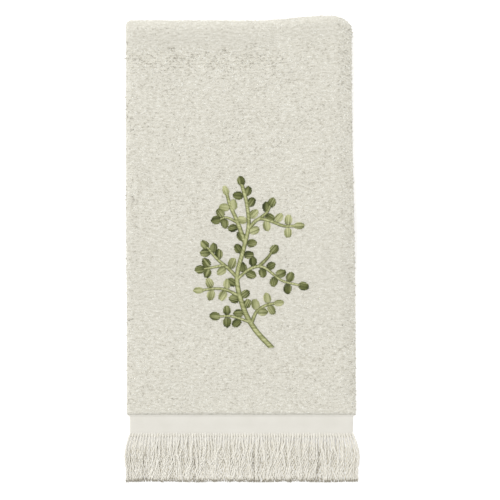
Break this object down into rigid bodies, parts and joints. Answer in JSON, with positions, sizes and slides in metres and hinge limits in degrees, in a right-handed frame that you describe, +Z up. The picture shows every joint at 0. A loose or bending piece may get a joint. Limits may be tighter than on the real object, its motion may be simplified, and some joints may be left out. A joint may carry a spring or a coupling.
{
  "type": "fingertip towel",
  "caption": "Cream terry fingertip towel, folded lengthwise and over at the top, lying flat, with a woven border and fringe at each end and a leafy embroidered sprig.",
  "frame": {"origin": "on the surface that the towel lies on, under the middle of its bounding box", "axes": "+X across the folded towel to its right, +Y along it to the top fold, +Z up out of the shown face"},
  "size_m": [0.1432, 0.284, 0.0132],
  "materials": {
    "terry": "looped cotton terry, cream",
    "fringe_yarn": "loose cotton yarns, cream",
    "woven_border": "flat fine weave, pale cream",
    "dark_thread": "satin stitch thread, dark olive green",
    "light_thread": "satin stitch thread, pale leaf green"
  },
  "bodies": {
    "root": {"towel_cloth": "terry", "front_fringe": "fringe_yarn", "back_fringe": "fringe_yarn"}
  },
  "joints": []
}
